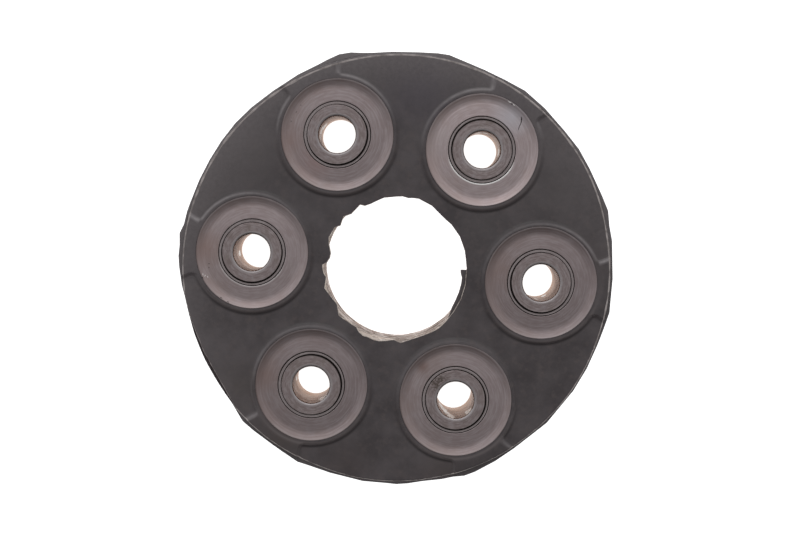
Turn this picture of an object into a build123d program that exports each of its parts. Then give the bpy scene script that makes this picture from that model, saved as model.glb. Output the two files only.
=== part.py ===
"""Flexible disc coupling: a rubber disc moulded round six steel bushes and their cord loops.

Millimetres. The axis is +Z, the origin is on it halfway between the two faces, and bush 1
lies on +X. Both faces are alike, apart from the torn moulding flash round the upper mouth
of the centre hole and the trimmed stretch of the upper rim.
"""
import os
from math import cos, radians, sin

from build123d import *

# ---- bolt pattern and overall sizes --------------------------------------------------
bolt_circle_radius = 48.0
bush_count = 6
bore_radius = 6.07
coupling_width = 35.0           # over the ends of the sleeves, where the yokes clamp
face_below_end = 1.2            # from the sleeves' ends down to the flat face of the rubber
wall_beyond_bolts = 22.9        # rubber from the bolt circle out to the wall
hole_inside_bolts = 23.6        # and from the bolt circle in to the centre hole
rim_round = 0.4

# ---- raised pads of the rubber -------------------------------------------------------
pad_height = 0.7
pad_foot = 0.15                 # height of the flat slope at the foot of a pad's sides
foot_lean = 70.0                # lean of that slope, in degrees from upright
side_lean = 55.0                # lean of the sides above it
pad_round = 0.8
lip_width = 2.05                # rubber lip standing round each flange
lip_bevel = 0.06
pad_corner = 1.2                # where a pad's side runs into the lip
pad_half_angle = 27.0           # a pad fans out from its bush to the rim

# ---- bushes --------------------------------------------------------------------------
sleeve_radius = 9.9
bore_round = 0.8
sleeve_chamfer = 0.2
tube_wall = 1.1
tube_below_end = 0.9            # from the sleeve's end down to the tube's end
tube_edge = 0.15
sleeve_gap = 0.25               # open ring between sleeve and tube at each end
sleeve_gap_depth = 1.1
flange_radius = 18.6
flange_thickness = 2.0
flange_below_end = 1.4          # from the sleeve's end down to the lowest ring of the flange
cone_rise = 0.35                # from that ring up to the flange's hole
flange_mouth = 0.35             # rounding of the flange's hole
dish_width = 2.4                # steep band from that ring out to the flange's edge
dish_rise = 0.8
dish_blend = 4.0
flange_edge = 0.15

# ---- cord loops ----------------------------------------------------------------------
cord_build = 4.8                # thickness of the winding on a tube
middle_loop_height = 10.0
outer_loop_height = 6.0
loop_gap = 1.2                  # rubber between two windings
loop_round = 1.2

# ---- moulding flash ------------------------------------------------------------------
fin_below_face = 1.2            # from the flat face down to the middle of the fin
fin_root = 0.6                  # half the thickness of the fin where it leaves the wall
fin_land = 0.25                 # and at its edge
flash_root = 0.6                # how far flash is rooted inside the wall it grows from
mouth_skin = 0.8                # thickness of the torn skin over the hole's mouth
flap_drop = 0.5                 # the hanging flap lies this far below the skin
flap_thickness = 0.9
trim_reach = 4.4                # the knife's strokes run out this far below the face

# strokes of the knife along the upper rim: angle in degrees, depth at the face
trim_strokes = [(201, 0.9), (208, 1.5), (215.5, 1.75)]

# fin: angle in degrees, reach beyond the wall
fin_outline = [
    (3, 0.75), (13, 0.95), (17, 0.85), (21, 1.55), (25, 1.1), (33, 0.8), (39, 0.95), (45, 0.65),
    (53, 0.95), (60, 1.25), (66, 0.65), (72, 0.5), (78, 0.75), (82, 1.35), (85, 1.1), (90, 0.5),
    (97, 0.3), (102, 0.35), (105, 0.8), (108, 1.65), (111, 1.95), (114, 1.45), (117, 0.9),
    (123, 0.6), (131, 0.25), (138, 0.45), (144, 0.6), (150, 0.5), (156, 0.4), (162, 0.45),
    (168, 0.6), (171, 0.85), (174.5, 0.9), (177, 1.8), (180, 1.3), (183, 1.4), (186, 1.05),
    (192, 0.4), (196, 0.1), (199, -0.3), (219, -0.3), (222, 0.1), (226, 0.65), (231, 1.35),
    (235, 1.15), (240, 0.95), (244, 1.1), (249, 1.6), (252, 1.1), (258, 0.85), (262, 0.7),
    (267, 1.0), (273, 0.85), (276, 1.15), (279, 1.0), (283, 0.65), (288, 1.05), (291, 1.15),
    (294, 1.9), (297, 1.85), (303, 1.3), (309, 0.75), (320, 0.85), (331, 0.6), (338, 0.55),
    (345, 0.5), (350, 0.75), (354, 1.2),
]

# torn skin of the mouth: angle in degrees, overhang inwards (negative where it tore outwards)
torn_mouth = [
    (5, 1.2), (12, 1.3), (20, 1.15), (32, 1.1), (44, 1.35), (50, 1.7), (58, 1.55), (66, 0.9),
    (78, 0.55), (83, 0.85), (86, 1.15), (91, 0.85), (96, 1.0), (102, 1.1), (106, 1.0),
    (112, 1.45), (118, 1.75), (123, 1.55), (126, 0.45), (132, 1.05), (136, 1.25), (142, 0.2),
    (146, 0.85), (149, 1.3), (153, 0.1), (162, 0.05), (166, 0.65), (171, 1.75), (174, 2.25),
    (178, 2.1), (182, 1.3), (184, -0.1), (190, 0.3), (194, 1.0), (202, -0.25), (208, 0.5),
    (214, 1.1), (218, 1.35), (222, 0.5), (226, -0.35), (232, 0.2), (238, 0.55), (242, 0.7),
    (246, -0.3), (250, -0.7), (254, -0.45), (259, -0.7), (263, -0.55), (268, 0.0), (274, 0.5),
    (279, -0.55), (284, -0.05), (292, 0.3), (304, 0.05), (311, -0.05), (318, 0.2), (328, 0.5),
    (340, 0.7), (352, 0.95),
]

# flap hanging below the skin: angle in degrees, overhang inwards
flap_outline = [
    (4, 3.15), (1, 3.05), (357, 2.45), (352, 2.3), (344, 2.15), (336, 2.0), (330, 1.75),
    (325, 1.0), (320, 0.1),
]

# ---- heights and radii that follow ---------------------------------------------------
sleeve_end = coupling_width / 2
face_height = sleeve_end - face_below_end
pad_top = face_height + pad_height
above_pads = pad_top + pad_height
wall_radius = bolt_circle_radius + wall_beyond_bolts
hole_radius = bolt_circle_radius - hole_inside_bolts
tube_outer = sleeve_radius + tube_wall
tube_end = sleeve_end - tube_below_end
fin_level = face_height - fin_below_face
flange_floor = sleeve_end - flange_below_end
flange_under = flange_floor - flange_thickness
flange_crest = flange_floor + dish_rise
dish_foot = flange_radius - dish_width
lip_radius = flange_radius + lip_width
loop_outer = tube_outer + cord_build
outer_loop_foot = middle_loop_height / 2 + loop_gap
bush_pitch = 2 * bolt_circle_radius * sin(radians(180 / bush_count))


def polar(radius, angle):
    """Point of the XY plane at a radius and an angle in degrees."""
    return (radius * cos(radians(angle)), radius * sin(radians(angle)))


def bush_centre(number):
    """Centre of a bush, numbered anticlockwise from 0 on +X."""
    return polar(bolt_circle_radius, 360 / bush_count * number)


# ---- one bush, made on the axis ------------------------------------------------------
with BuildPart() as sleeve:
    Cylinder(sleeve_radius, coupling_width)
    chamfer(sleeve.edges().filter_by(GeomType.CIRCLE), sleeve_chamfer)
    Hole(bore_radius)
    fillet(sleeve.edges().filter_by(GeomType.CIRCLE).group_by(SortBy.RADIUS)[0], bore_round)

with BuildPart() as tube:
    Cylinder(tube_outer, 2 * tube_end)
    chamfer(tube.edges().filter_by(GeomType.CIRCLE), tube_edge)
    Hole(sleeve_radius)
    for end in (1, -1):
        with BuildSketch(Plane.XY.offset(end * tube_end)):
            Circle(sleeve_radius + sleeve_gap)
        extrude(amount=-end * sleeve_gap_depth, mode=Mode.SUBTRACT)

# the flange is a dished washer, seated round the tube
flange_section = [
    (tube_outer, flange_under),
    (dish_foot, flange_under),
    (flange_radius, flange_under + dish_rise),
    (flange_radius, flange_crest),
    (dish_foot, flange_floor),
    (tube_outer, flange_floor + cone_rise),
]
flange_rounds = [
    ((flange_radius, flange_crest), flange_edge),
    ((dish_foot, flange_floor), dish_blend),
    ((tube_outer, flange_floor + cone_rise), flange_mouth),
]
with BuildPart() as flange:
    with BuildSketch(Plane.XZ) as flange_profile:
        with BuildLine():
            Polyline(*flange_section, close=True)
        make_face()
        for corner, rounding in flange_rounds:
            fillet(flange_profile.vertices().sort_by_distance(corner)[0], rounding)
    revolve(axis=Axis.Z)

# what the rubber leaves free for a bush: the way of the tube and both dished seats
seat_section = [
    (0, flange_under),
    (dish_foot, flange_under),
    (flange_radius, flange_under + dish_rise),
    (flange_radius, pad_top - lip_bevel),
    (flange_radius + lip_bevel + pad_height, above_pads),
    (0, above_pads),
]
with BuildPart() as bush_space:
    with BuildSketch(Plane.XZ):
        with BuildLine():
            Polyline(*seat_section, close=True)
        make_face()
    revolve(axis=Axis.Z)
    mirror(about=Plane.XY)
    Cylinder(tube_outer, 2 * above_pads)


# ---- cord loops ----------------------------------------------------------------------
def make_loop(first_bush, foot, height, name):
    """One winding laid round two neighbouring tubes, from the height of its foot upwards."""
    start = Vector(*bush_centre(first_bush))
    finish = Vector(*bush_centre(first_bush + 1))
    middle = (start + finish) / 2
    loop_plane = Plane((middle.X, middle.Y, foot), x_dir=finish - start, z_dir=(0, 0, 1))
    with BuildPart() as loop:
        with BuildSketch(loop_plane):
            SlotCenterToCenter(bush_pitch, 2 * loop_outer)
        extrude(amount=height)
        fillet(loop.edges().filter_by(Axis.Z, reverse=True), loop_round)
        with BuildSketch(loop_plane):
            SlotCenterToCenter(bush_pitch, 2 * tube_outer)
        extrude(amount=height, mode=Mode.SUBTRACT)
    loop.part.label = name
    return loop


loops = []
for pair in range(bush_count // 2):
    loops.append(make_loop(2 * pair, -middle_loop_height / 2, middle_loop_height,
                           f"cord_loop_middle_{pair + 1}"))
    loops.append(make_loop(2 * pair + 1, outer_loop_foot, outer_loop_height,
                           f"cord_loop_upper_{pair + 1}"))
    loops.append(make_loop(2 * pair + 1, -outer_loop_foot - outer_loop_height,
                           outer_loop_height, f"cord_loop_lower_{pair + 1}"))


# ---- raised pads ---------------------------------------------------------------------
def disc_section(height):
    """Half section of a disc with rounded rims, as high above the mid plane as below it."""
    with BuildSketch(Plane.XZ) as section:
        with Locations((wall_radius / 2, 0)):
            Rectangle(wall_radius, 2 * height)
        fillet(section.vertices().group_by(Axis.X)[-1], rim_round)
    return section.sketch


# the lip and a fan from the bush's centre to beyond the wall, risen softly from the face
fan_length = 2 * wall_beyond_bolts
with BuildPart() as pad:
    with BuildSketch(Plane.XY.offset(face_height)) as pad_plan:
        Circle(lip_radius)
        with BuildLine():
            Polyline((0, 0), polar(fan_length, -pad_half_angle),
                     polar(fan_length, pad_half_angle), close=True)
        make_face()
        fillet(pad_plan.vertices().sort_by_distance((0, 0))[:2], pad_corner)
    extrude(pad_plan.sketch, amount=-rim_round)
    extrude(pad_plan.sketch, amount=pad_foot, taper=foot_lean)
    extrude(pad.faces().sort_by(Axis.Z)[-1], amount=pad_height - pad_foot, taper=side_lean)
    fillet(pad.edges().group_by(Axis.Z)[-1], pad_round)

# the pads of both faces, trimmed to the rounded rim
with BuildPart() as pads:
    with PolarLocations(bolt_circle_radius, bush_count):
        add(pad.part)
    mirror(about=Plane.XY)
    revolve(disc_section(pad_top), axis=Axis.Z, mode=Mode.INTERSECT)

# ---- moulding flash ------------------------------------------------------------------
with BuildPart() as fin:
    for level, share in ((-fin_root, 0), (-fin_land, 1), (fin_land, 1), (fin_root, 0)):
        with BuildSketch(Plane.XY.offset(fin_level + level)):
            with BuildLine():
                Polyline(*[polar(wall_radius - flash_root + share * (flash_root + reach), angle)
                           for angle, reach in fin_outline], close=True)
            make_face()
    loft(ruled=True)

with BuildPart() as flap:
    with BuildSketch(Plane.XY.offset(face_height - mouth_skin - flap_drop)):
        with BuildLine():
            free_edge = [polar(hole_radius - overhang, angle) for angle, overhang in flap_outline]
            root = [polar(hole_radius + flash_root, angle) for angle, _ in flap_outline[::-1]]
            Polyline(*free_edge, *root, close=True)
        make_face()
    extrude(amount=-flap_thickness)

# wedges that the knife took off the upper rim
with BuildPart() as trimmings:
    for angle, depth in trim_strokes:
        outwards = Vector(*polar(1, angle))
        with BuildSketch(Plane((0, 0, 0), x_dir=outwards, z_dir=outwards.cross(Vector(0, 0, 1)))):
            with BuildLine():
                Polyline((wall_radius, face_height - trim_reach), (wall_radius - depth, face_height),
                         (wall_radius + trim_reach, face_height), close=True)
            make_face()
        extrude(amount=wall_radius / 2, both=True)

# ---- rubber disc ---------------------------------------------------------------------
with BuildPart() as rubber_disc:
    revolve(disc_section(face_height), axis=Axis.Z)
    add(pads.part)
    add(fin.part)
    add(trimmings.part, mode=Mode.SUBTRACT)
    with BuildSketch(Plane.XY.offset(face_height - mouth_skin)):
        Circle(hole_radius)
    extrude(amount=-2 * above_pads, mode=Mode.SUBTRACT)
    with BuildSketch(Plane.XY.offset(face_height - mouth_skin)):
        with BuildLine():
            Polyline(*[polar(hole_radius - overhang, angle) for angle, overhang in torn_mouth],
                     close=True)
        make_face()
    extrude(amount=mouth_skin, mode=Mode.SUBTRACT)
    add(flap.part)
    with PolarLocations(bolt_circle_radius, bush_count):
        add(bush_space.part, mode=Mode.SUBTRACT)
    for loop in loops:
        add(loop.part, mode=Mode.SUBTRACT)
rubber_disc.part.label = "rubber_disc"


# ---- pieces --------------------------------------------------------------------------
def at_bush(number, shape, name):
    """A bush's piece, carried to its place and labelled."""
    with BuildPart() as piece:
        with Locations(bush_centre(number)):
            add(shape)
    piece.part.label = name
    return piece


pieces = [rubber_disc, *loops]
for number in range(bush_count):
    pieces.append(at_bush(number, sleeve.part, f"bolt_sleeve_{number + 1}"))
    pieces.append(at_bush(number, tube.part, f"spool_tube_{number + 1}"))
    pieces.append(at_bush(number, flange.part, f"upper_flange_{number + 1}"))
    pieces.append(at_bush(number, mirror(flange.part, about=Plane.XY, mode=Mode.PRIVATE),
                          f"lower_flange_{number + 1}"))

os.makedirs("parts", exist_ok=True)
for piece in pieces:
    export_step(piece.part, f"parts/{piece.part.label}.step")
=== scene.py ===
"""Looks of the flexible disc coupling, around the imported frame. Metres, in the frame's own axes."""

import math
from types import SimpleNamespace

import bpy
from mathutils import Matrix, Vector, noise as smooth_noise
from mathutils.bvhtree import BVHTree


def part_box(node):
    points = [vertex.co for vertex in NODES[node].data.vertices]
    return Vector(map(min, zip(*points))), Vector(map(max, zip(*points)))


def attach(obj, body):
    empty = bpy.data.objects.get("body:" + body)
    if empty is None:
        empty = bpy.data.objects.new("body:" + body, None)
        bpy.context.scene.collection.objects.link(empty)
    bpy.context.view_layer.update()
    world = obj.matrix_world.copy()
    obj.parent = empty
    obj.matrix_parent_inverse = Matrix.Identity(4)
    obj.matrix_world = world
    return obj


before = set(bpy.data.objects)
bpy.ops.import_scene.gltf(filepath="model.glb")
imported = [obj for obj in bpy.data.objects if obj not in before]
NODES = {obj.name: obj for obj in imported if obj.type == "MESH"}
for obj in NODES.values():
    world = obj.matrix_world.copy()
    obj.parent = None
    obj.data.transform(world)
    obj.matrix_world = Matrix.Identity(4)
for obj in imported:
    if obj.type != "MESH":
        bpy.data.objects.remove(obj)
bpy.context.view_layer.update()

MM = 0.001
BUSHES = 6


# ---- sizes: the frame's own, and those that no box gives -----------------------------
def round_length(length):
    """Length to 0.01 mm; the box of a faceted circle falls a few microns short."""
    return round(length, 5)


sleeve_low, sleeve_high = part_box("bolt_sleeve_1")
BOLT_CIRCLE = (sleeve_low.x + sleeve_high.x) / 2         # radius of the circle of bushes
SLEEVE_RADIUS = round_length((sleeve_high.x - sleeve_low.x) / 2)
TOP = sleeve_high.z
FLOOR = sleeve_low.z
FLANGE_RADIUS = round_length(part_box("upper_flange_1")[1].x - BOLT_CIRCLE)
TUBE_RADIUS = round_length(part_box("spool_tube_1")[1].x - BOLT_CIRCLE)
TUBE_BORE = SLEEVE_RADIUS + 0.25 * MM                    # inner radius of a tube's end
BORE_RADIUS = 6.07 * MM                                  # of the bolt hole in a sleeve
WALL_RADIUS = 70.9 * MM                                  # the rubber's outer wall, without its fin
FACE_LEVEL = TOP - 1.2 * MM                              # the rubber's upper flat face
FLANGE_LEVEL = TOP - 1.3 * MM                            # mean level of a flange's upper face

# ---- camera --------------------------------------------------------------------------
CAMERA_PLACE = Vector((2.0, 23.3, 675.5)) * MM
CAMERA_AIM = Vector((1.15, 0.33, 17.5)) * MM
PICTURE_UP = 96.0            # degrees from +X to the picture's upward direction
LENS = 89.8                  # mm, as is the sensor
SENSOR = 36.0


def flat_direction(degrees):
    """Unit vector of the floor plane at an angle from +X."""
    return Vector((math.cos(math.radians(degrees)), math.sin(math.radians(degrees)), 0))


def bush_centre(number):
    """Centre of a bush at mid height."""
    return BOLT_CIRCLE * flat_direction(360 / BUSHES * (number - 1))


def looking_matrix(place, aim, up):
    """World matrix of a camera or light at a place, with -Z towards the aim."""
    back = (place - aim).normalized()
    right = up.cross(back).normalized()
    above = back.cross(right)
    matrix = Matrix((right, above, back)).transposed().to_4x4()
    matrix.translation = place
    return matrix


def add_object(name, data):
    """A new object of the scene that holds some data."""
    piece = bpy.data.objects.new(name, data)
    bpy.context.scene.collection.objects.link(piece)
    return piece


camera_data = bpy.data.cameras.new("camera")
camera_data.sensor_fit = "HORIZONTAL"
camera_data.sensor_width = SENSOR
camera_data.lens = LENS
camera_data.clip_start = 0.01
camera_data.clip_end = 50
camera = add_object("camera", camera_data)
camera.matrix_world = looking_matrix(CAMERA_PLACE, CAMERA_AIM, flat_direction(PICTURE_UP))
bpy.context.scene.camera = camera
bpy.context.scene.view_settings.view_transform = "Standard"


# ---- nodes ---------------------------------------------------------------------------
def add_node(tree, kind, inputs=None, **settings):
    """A node with its settings; each input is a number or another node's output."""
    node = tree.nodes.new(kind)
    for key, value in settings.items():
        setattr(node, key, value)
    for key, value in (inputs or {}).items():
        if isinstance(value, bpy.types.NodeSocket):
            tree.links.new(value, node.inputs[key])
        else:
            node.inputs[key].default_value = value
    return node


def math_node(tree, operation, *values):
    """Result of one sum on numbers or outputs."""
    return add_node(tree, "ShaderNodeMath", dict(enumerate(values)), operation=operation).outputs[0]


def product(tree, *values):
    """Values multiplied together."""
    result = values[0]
    for value in values[1:]:
        result = math_node(tree, "MULTIPLY", result, value)
    return result


def along_direction(tree, vector, direction):
    """How far a vector reaches along a direction."""
    return add_node(tree, "ShaderNodeVectorMath", {0: vector, 1: direction},
                    operation="DOT_PRODUCT").outputs["Value"]


def scaled_vector(tree, vector, factors):
    """Vector with each part multiplied by its own factor."""
    return add_node(tree, "ShaderNodeVectorMath", {0: vector, 1: factors},
                    operation="MULTIPLY").outputs[0]


def noise(tree, vector, scale, detail=2.0, roughness=0.5, dimensions="3D"):
    """Smooth random value from 0 to 1; vector is a place, or one number in 1D."""
    return add_node(tree, "ShaderNodeTexNoise",
                    {"W" if dimensions == "1D" else "Vector": vector, "Scale": scale,
                     "Detail": detail, "Roughness": roughness},
                    noise_dimensions=dimensions).outputs[0]


def ramp(tree, value, low, high, start=0.0, end=1.0):
    """Value carried from low..high to start..end, and held there beyond."""
    return add_node(tree, "ShaderNodeMapRange",
                    {"Value": value, "From Min": low, "From Max": high,
                     "To Min": start, "To Max": end}).outputs["Result"]


def hump(tree, value, middle, half_width):
    """1 where a value meets the middle, falling to 0 at a half width on both sides."""
    away = math_node(tree, "ABSOLUTE", math_node(tree, "SUBTRACT", value, middle))
    return ramp(tree, away, half_width, 0)


def blend(tree, share, first, second):
    """Colour between two colours, each a tuple or an output."""
    def colour(value):
        return (*value, 1) if isinstance(value, tuple) else value
    node = add_node(tree, "ShaderNodeMix", data_type="RGBA")
    for socket, value in ((0, share), (6, colour(first)), (7, colour(second))):
        if isinstance(value, bpy.types.NodeSocket):
            tree.links.new(value, node.inputs[socket])
        else:
            node.inputs[socket].default_value = value
    return node.outputs[2]


def place_outputs(tree):
    """The place in the frame, and its x, y and z."""
    place = add_node(tree, "ShaderNodeTexCoord").outputs["Object"]
    return place, *add_node(tree, "ShaderNodeSeparateXYZ", {0: place}).outputs


def patch(tree, place, centre, inner, outer):
    """Soft round patch: 1 within the inner radius of a centre, 0 beyond the outer one; all in mm."""
    away = add_node(tree, "ShaderNodeVectorMath", {0: place, 1: Vector(centre) * MM},
                    operation="DISTANCE").outputs["Value"]
    return ramp(tree, away, outer * MM, inner * MM)


def add_bump(tree, shader, height, distance):
    """Fine relief; distance is the real height of a value of 1."""
    bump = add_node(tree, "ShaderNodeBump", {"Height": height, "Distance": distance, "Strength": 1.0})
    tree.links.new(bump.outputs[0], shader.inputs["Normal"])


# ---- places round the nearest bush ---------------------------------------------------
def bush_place():
    """Node group: distance from the nearest bush's axis, angle round it, and the bush's number."""
    group = bpy.data.node_groups.new("bush_place", "ShaderNodeTree")
    for name in ("Radius", "Angle", "Bush"):
        group.interface.new_socket(name, in_out="OUTPUT", socket_type="NodeSocketFloat")
    _, x, y, _ = place_outputs(group)
    pitch = 2 * math.pi / BUSHES
    turn = math_node(group, "ARCTAN2", y, x)
    bush = math_node(group, "ROUND", math_node(group, "DIVIDE", turn, pitch))
    centre_turn = math_node(group, "MULTIPLY", bush, pitch)
    away_x = math_node(group, "MULTIPLY_ADD", math_node(group, "COSINE", centre_turn), -BOLT_CIRCLE, x)
    away_y = math_node(group, "MULTIPLY_ADD", math_node(group, "SINE", centre_turn), -BOLT_CIRCLE, y)
    away = add_node(group, "ShaderNodeCombineXYZ", {0: away_x, 1: away_y})
    radius = add_node(group, "ShaderNodeVectorMath", {0: away.outputs[0]}, operation="LENGTH")
    ends = {"Radius": radius.outputs["Value"], "Angle": math_node(group, "ARCTAN2", away_y, away_x),
            "Bush": bush}
    add_node(group, "NodeGroupOutput", ends)
    return group


BUSH_PLACE = bush_place()


def bush_outputs(tree):
    """Radius and Angle round the nearest bush's axis, and its place in the circle as Bush."""
    return add_node(tree, "ShaderNodeGroup", node_tree=BUSH_PLACE).outputs


def facing(tree, bush, turn):
    """1 on the side of a bush that looks towards an angle in radians, -1 on the other side."""
    return math_node(tree, "COSINE", math_node(tree, "SUBTRACT", bush["Angle"], turn))


def per_bush(tree, bush, values, unit):
    """The nearest bush's own value, from a table by the bushes' numbers in some unit."""
    turn_number = math_node(tree, "FLOORED_MODULO", bush["Bush"], BUSHES)
    total = 0.0
    for number, value in values.items():
        own = math_node(tree, "COMPARE", turn_number, number - 1, 0.5)
        total = math_node(tree, "MULTIPLY_ADD", own, value * unit, total)
    return total


# ---- light ---------------------------------------------------------------------------
LIGHT_SIDE = 102.0           # degrees from +X to the side that the soft light comes from
TENT_LEVEL = 0.58            # brightness of the white tent overhead
TENT_SLOPE = 0.95            # how much brighter it is on the light's side
KEY_ELEVATION = 48           # degrees
KEY_DISTANCE = 0.7
KEY_SIZE = 0.35
KEY_POWER = 0.25             # watts


def light_tent():
    """World that shines evenly from above and falls off away from the light's side."""
    world = bpy.data.worlds.new("light_tent")
    world.use_nodes = True
    tree = world.node_tree
    towards = add_node(tree, "ShaderNodeTexCoord").outputs["Generated"]
    level = math_node(tree, "MULTIPLY_ADD", along_direction(tree, towards, flat_direction(LIGHT_SIDE)),
                      TENT_LEVEL * TENT_SLOPE, TENT_LEVEL)
    tree.links.new(level, tree.nodes["Background"].inputs["Strength"])
    tree.nodes["Background"].inputs["Color"].default_value = (1, 1, 1, 1)
    return world


def add_key_light():
    """Square soft light on the light's side, aimed at the part."""
    data = bpy.data.lights.new("key_light", "AREA")
    data.shape = "SQUARE"
    data.size = KEY_SIZE
    data.energy = KEY_POWER
    level = math.radians(KEY_ELEVATION)
    upwards = Vector((0, 0, 1))
    place = KEY_DISTANCE * (math.cos(level) * flat_direction(LIGHT_SIDE) + math.sin(level) * upwards)
    add_object("key_light", data).matrix_world = looking_matrix(place, Vector((0, 0, 0)), upwards)


bpy.context.scene.world = light_tent()
add_key_light()


# ---- materials -----------------------------------------------------------------------
def new_material(name):
    """A node material, its tree and its Principled shader."""
    material = bpy.data.materials.new(name)
    material.use_nodes = True
    return material, material.node_tree, material.node_tree.nodes["Principled BSDF"]


def plain_material(name, colour, roughness):
    """A material of one colour, and its shader."""
    material, _, shader = new_material(name)
    shader.inputs["Base Color"].default_value = (*colour, 1)
    shader.inputs["Roughness"].default_value = roughness
    return material, shader


def repaint(material, share, tint):
    """Lay a tint over a material's colour; share and tint are outputs or numbers of its tree."""
    tree = material.node_tree
    colour = tree.nodes["Principled BSDF"].inputs["Base Color"]
    tree.links.new(blend(tree, share, colour.links[0].from_socket, tint), colour)


# ---- rubber --------------------------------------------------------------------------
# noise patterns: scale per metre, detail, roughness
MOTTLE = (90, 4, 0.6)
PATCHES = (420, 3, 0.6)
GRAIN = (5200, 2, 0.6)
DUST_CLOUDS = (800, 3, 0.7)
WEAR_CLOUDS = (450, 3, 0.6)
SCUFF_CLOUDS = (260, 3, 0.6)
SCUFF_STREAKS = (420, 4, 0.65)
SCUFF_FLECKS = (1100, 3, 0.6)
STREAK_STRETCH = (0.4, 0.4, 1.0)                         # draws the streaks out round the hole

RUBBER_COLOURS = ((0.042, 0.033, 0.036), (0.078, 0.065, 0.069))
PATCH_COLOUR = (0.098, 0.077, 0.075)
GRAIN_COLOUR = (0.11, 0.097, 0.10)
# colour of dust, also used as painted light on the pads' sides
DUST_AND_LIGHT_COLOUR = (0.135, 0.118, 0.122)
# painted shade at the lips' feet and on the pads away from the dusty side
PAINTED_RUBBER_SHADE = (0.028, 0.022, 0.023)
SHEEN_COLOUR = (0.13, 0.11, 0.11)
# painted highlight on the lit edges of the lips and pads
EDGE_HIGHLIGHT_COLOUR = (0.25, 0.228, 0.235)
FLAP_COLOUR = (0.085, 0.07, 0.073)
# painted shade: darker colours for the upright walls
WALL_SHADE_COLOURS = ((0.030, 0.025, 0.026), (0.048, 0.040, 0.042))
SCUFF_COLOURS = ((0.52, 0.43, 0.385), (0.96, 0.89, 0.85))
STREAK_COLOUR = (0.12, 0.09, 0.075)
FLECK_COLOUR = (0.17, 0.13, 0.11)

DUSTY_SIDE = 120             # degrees from +X to the side of the rim that is dustiest
DUST_START = 50 * MM         # radius where dust starts to show
DUST_FULL = 70.5 * MM        # radius where it is thickest
RELIEF = 0.08 * MM           # height of the rubber's mottling

HOLE_WALL_END = 26 * MM      # radius that takes in the whole wall of the centre hole
RIM_WALL_START = 66 * MM     # radius from which slopes count as the outer wall
FLAP_RADIUS = 24.3 * MM      # the torn skin's flap hangs inside this radius
SCUFF_END = 25.5 * MM        # radius that takes in the scuffed wall
SKIN_END = FACE_LEVEL - 0.7 * MM                         # level where the torn skin's colour ends

# lips and pads round a bush: places are radii from its axis
PAD_SPREAD = math.radians(27)                            # on each side of a pad's middle
PAD_EDGE = (0.906, 0.875)                                # cosines of the angle where a pad ends
LIP_MIDDLE = 19.2 * MM
LIP_END = 21.0 * MM
LIP_DOME = 0.15 * MM         # fall of a lip's worn top from its middle to its outer edge
LIP_FOOT_SHADE = (20.5 * MM, 0.75 * MM)                        # painted shade at a lip's foot: middle, half width
LIP_SHEEN = (19.6 * MM, 0.75 * MM)                       # painted sheen on its far side: middle, half width
LIP_HIGHLIGHT_HALF = 0.7 * MM           # half width of the painted highlight along a lip
PAD_HIGHLIGHT_HALF = 1.1 * MM           # half width of the painted highlight along a pad's side
PAD_START = 19.9 * MM
PAD_SIDE_START = 60 * MM     # radius from the disc's axis where the painted light on the pads' sides starts

# painted highlights by bush: lit side of its pad (-1 clockwise), place of the highlight inside that
# side in mm, share; radius of the highlight on the lip in mm, what it gains on the lean's side, share
PAD_LIT_SIDES = {1: 1, 2: 1, 3: -1, 4: -1, 5: -1, 6: 1}
PAD_INSETS = {1: 0.85, 2: 0.15, 3: 0.75, 4: 0.85, 5: 0.35, 6: 0.9}
PAD_HIGHLIGHT_SHARES = {1: 0.66, 2: 0.58, 3: 0.58, 4: 0.73, 5: 0.42, 6: 0.26}
LIP_RADII = {1: 19.5, 2: 20.2, 3: 19.52, 4: 19.0, 5: 19.1, 6: 18.75}
LIP_LEANS = {1: -0.3, 2: -0.3, 3: 0.45, 4: 0.9, 5: 0.25, 6: 0.35}
LIP_HIGHLIGHT_SHARES = {1: 0.5, 2: 0.6, 3: 0.6, 4: 0.6, 5: 0.55, 6: 0.45}
LEAN_SIDE = 150              # degrees from +X

# bloom on the rubber: centre in mm, radius in mm, colour, share
BLOOM = [
    ((2, 60, 17), 17, (0.066, 0.054, 0.068), 0.8),
    ((-30, 58, 16), 14, (0.060, 0.050, 0.060), 0.5),
    ((34, 62, 16), 12, (0.066, 0.052, 0.062), 0.5),
    ((63, 8, 16), 12, (0.075, 0.056, 0.054), 0.5),
    ((-33, -60, 16), 13, (0.062, 0.044, 0.040), 0.8),
    ((-48, -45, 16), 12, (0.060, 0.046, 0.040), 0.5),
    ((-10, -66, 16), 12, (0.055, 0.040, 0.040), 0.6),
    ((22, -66, 16), 10, (0.062, 0.046, 0.044), 0.6),
    ((-64, 14, 16), 10, (0.085, 0.070, 0.070), 0.5),
    ((-50, 30, 16), 17, (0.085, 0.072, 0.074), 0.7),
    ((50, 29, 16), 15, (0.080, 0.068, 0.070), 0.6),
    ((-28, 20, 16), 12, (0.080, 0.068, 0.072), 0.5),
    ((27, 17, 16), 10, (0.078, 0.067, 0.069), 0.5),
]

# patches on the hole's torn wall: centre in mm, radius in mm, colour
WALL_PATCHES = [
    ((-22.4, -10.0, 12), 6, (0.92, 0.82, 0.74)),
    ((-24.4, -2.0, 10), 5, (0.85, 0.74, 0.66)),
    ((-7.0, -23.9, 15), 6, (0.90, 0.79, 0.71)),
    ((-2.0, -24.6, 8), 6, (0.88, 0.78, 0.71)),
    ((3.4, -24.4, 12), 5, (0.17, 0.12, 0.095)),
]


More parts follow.
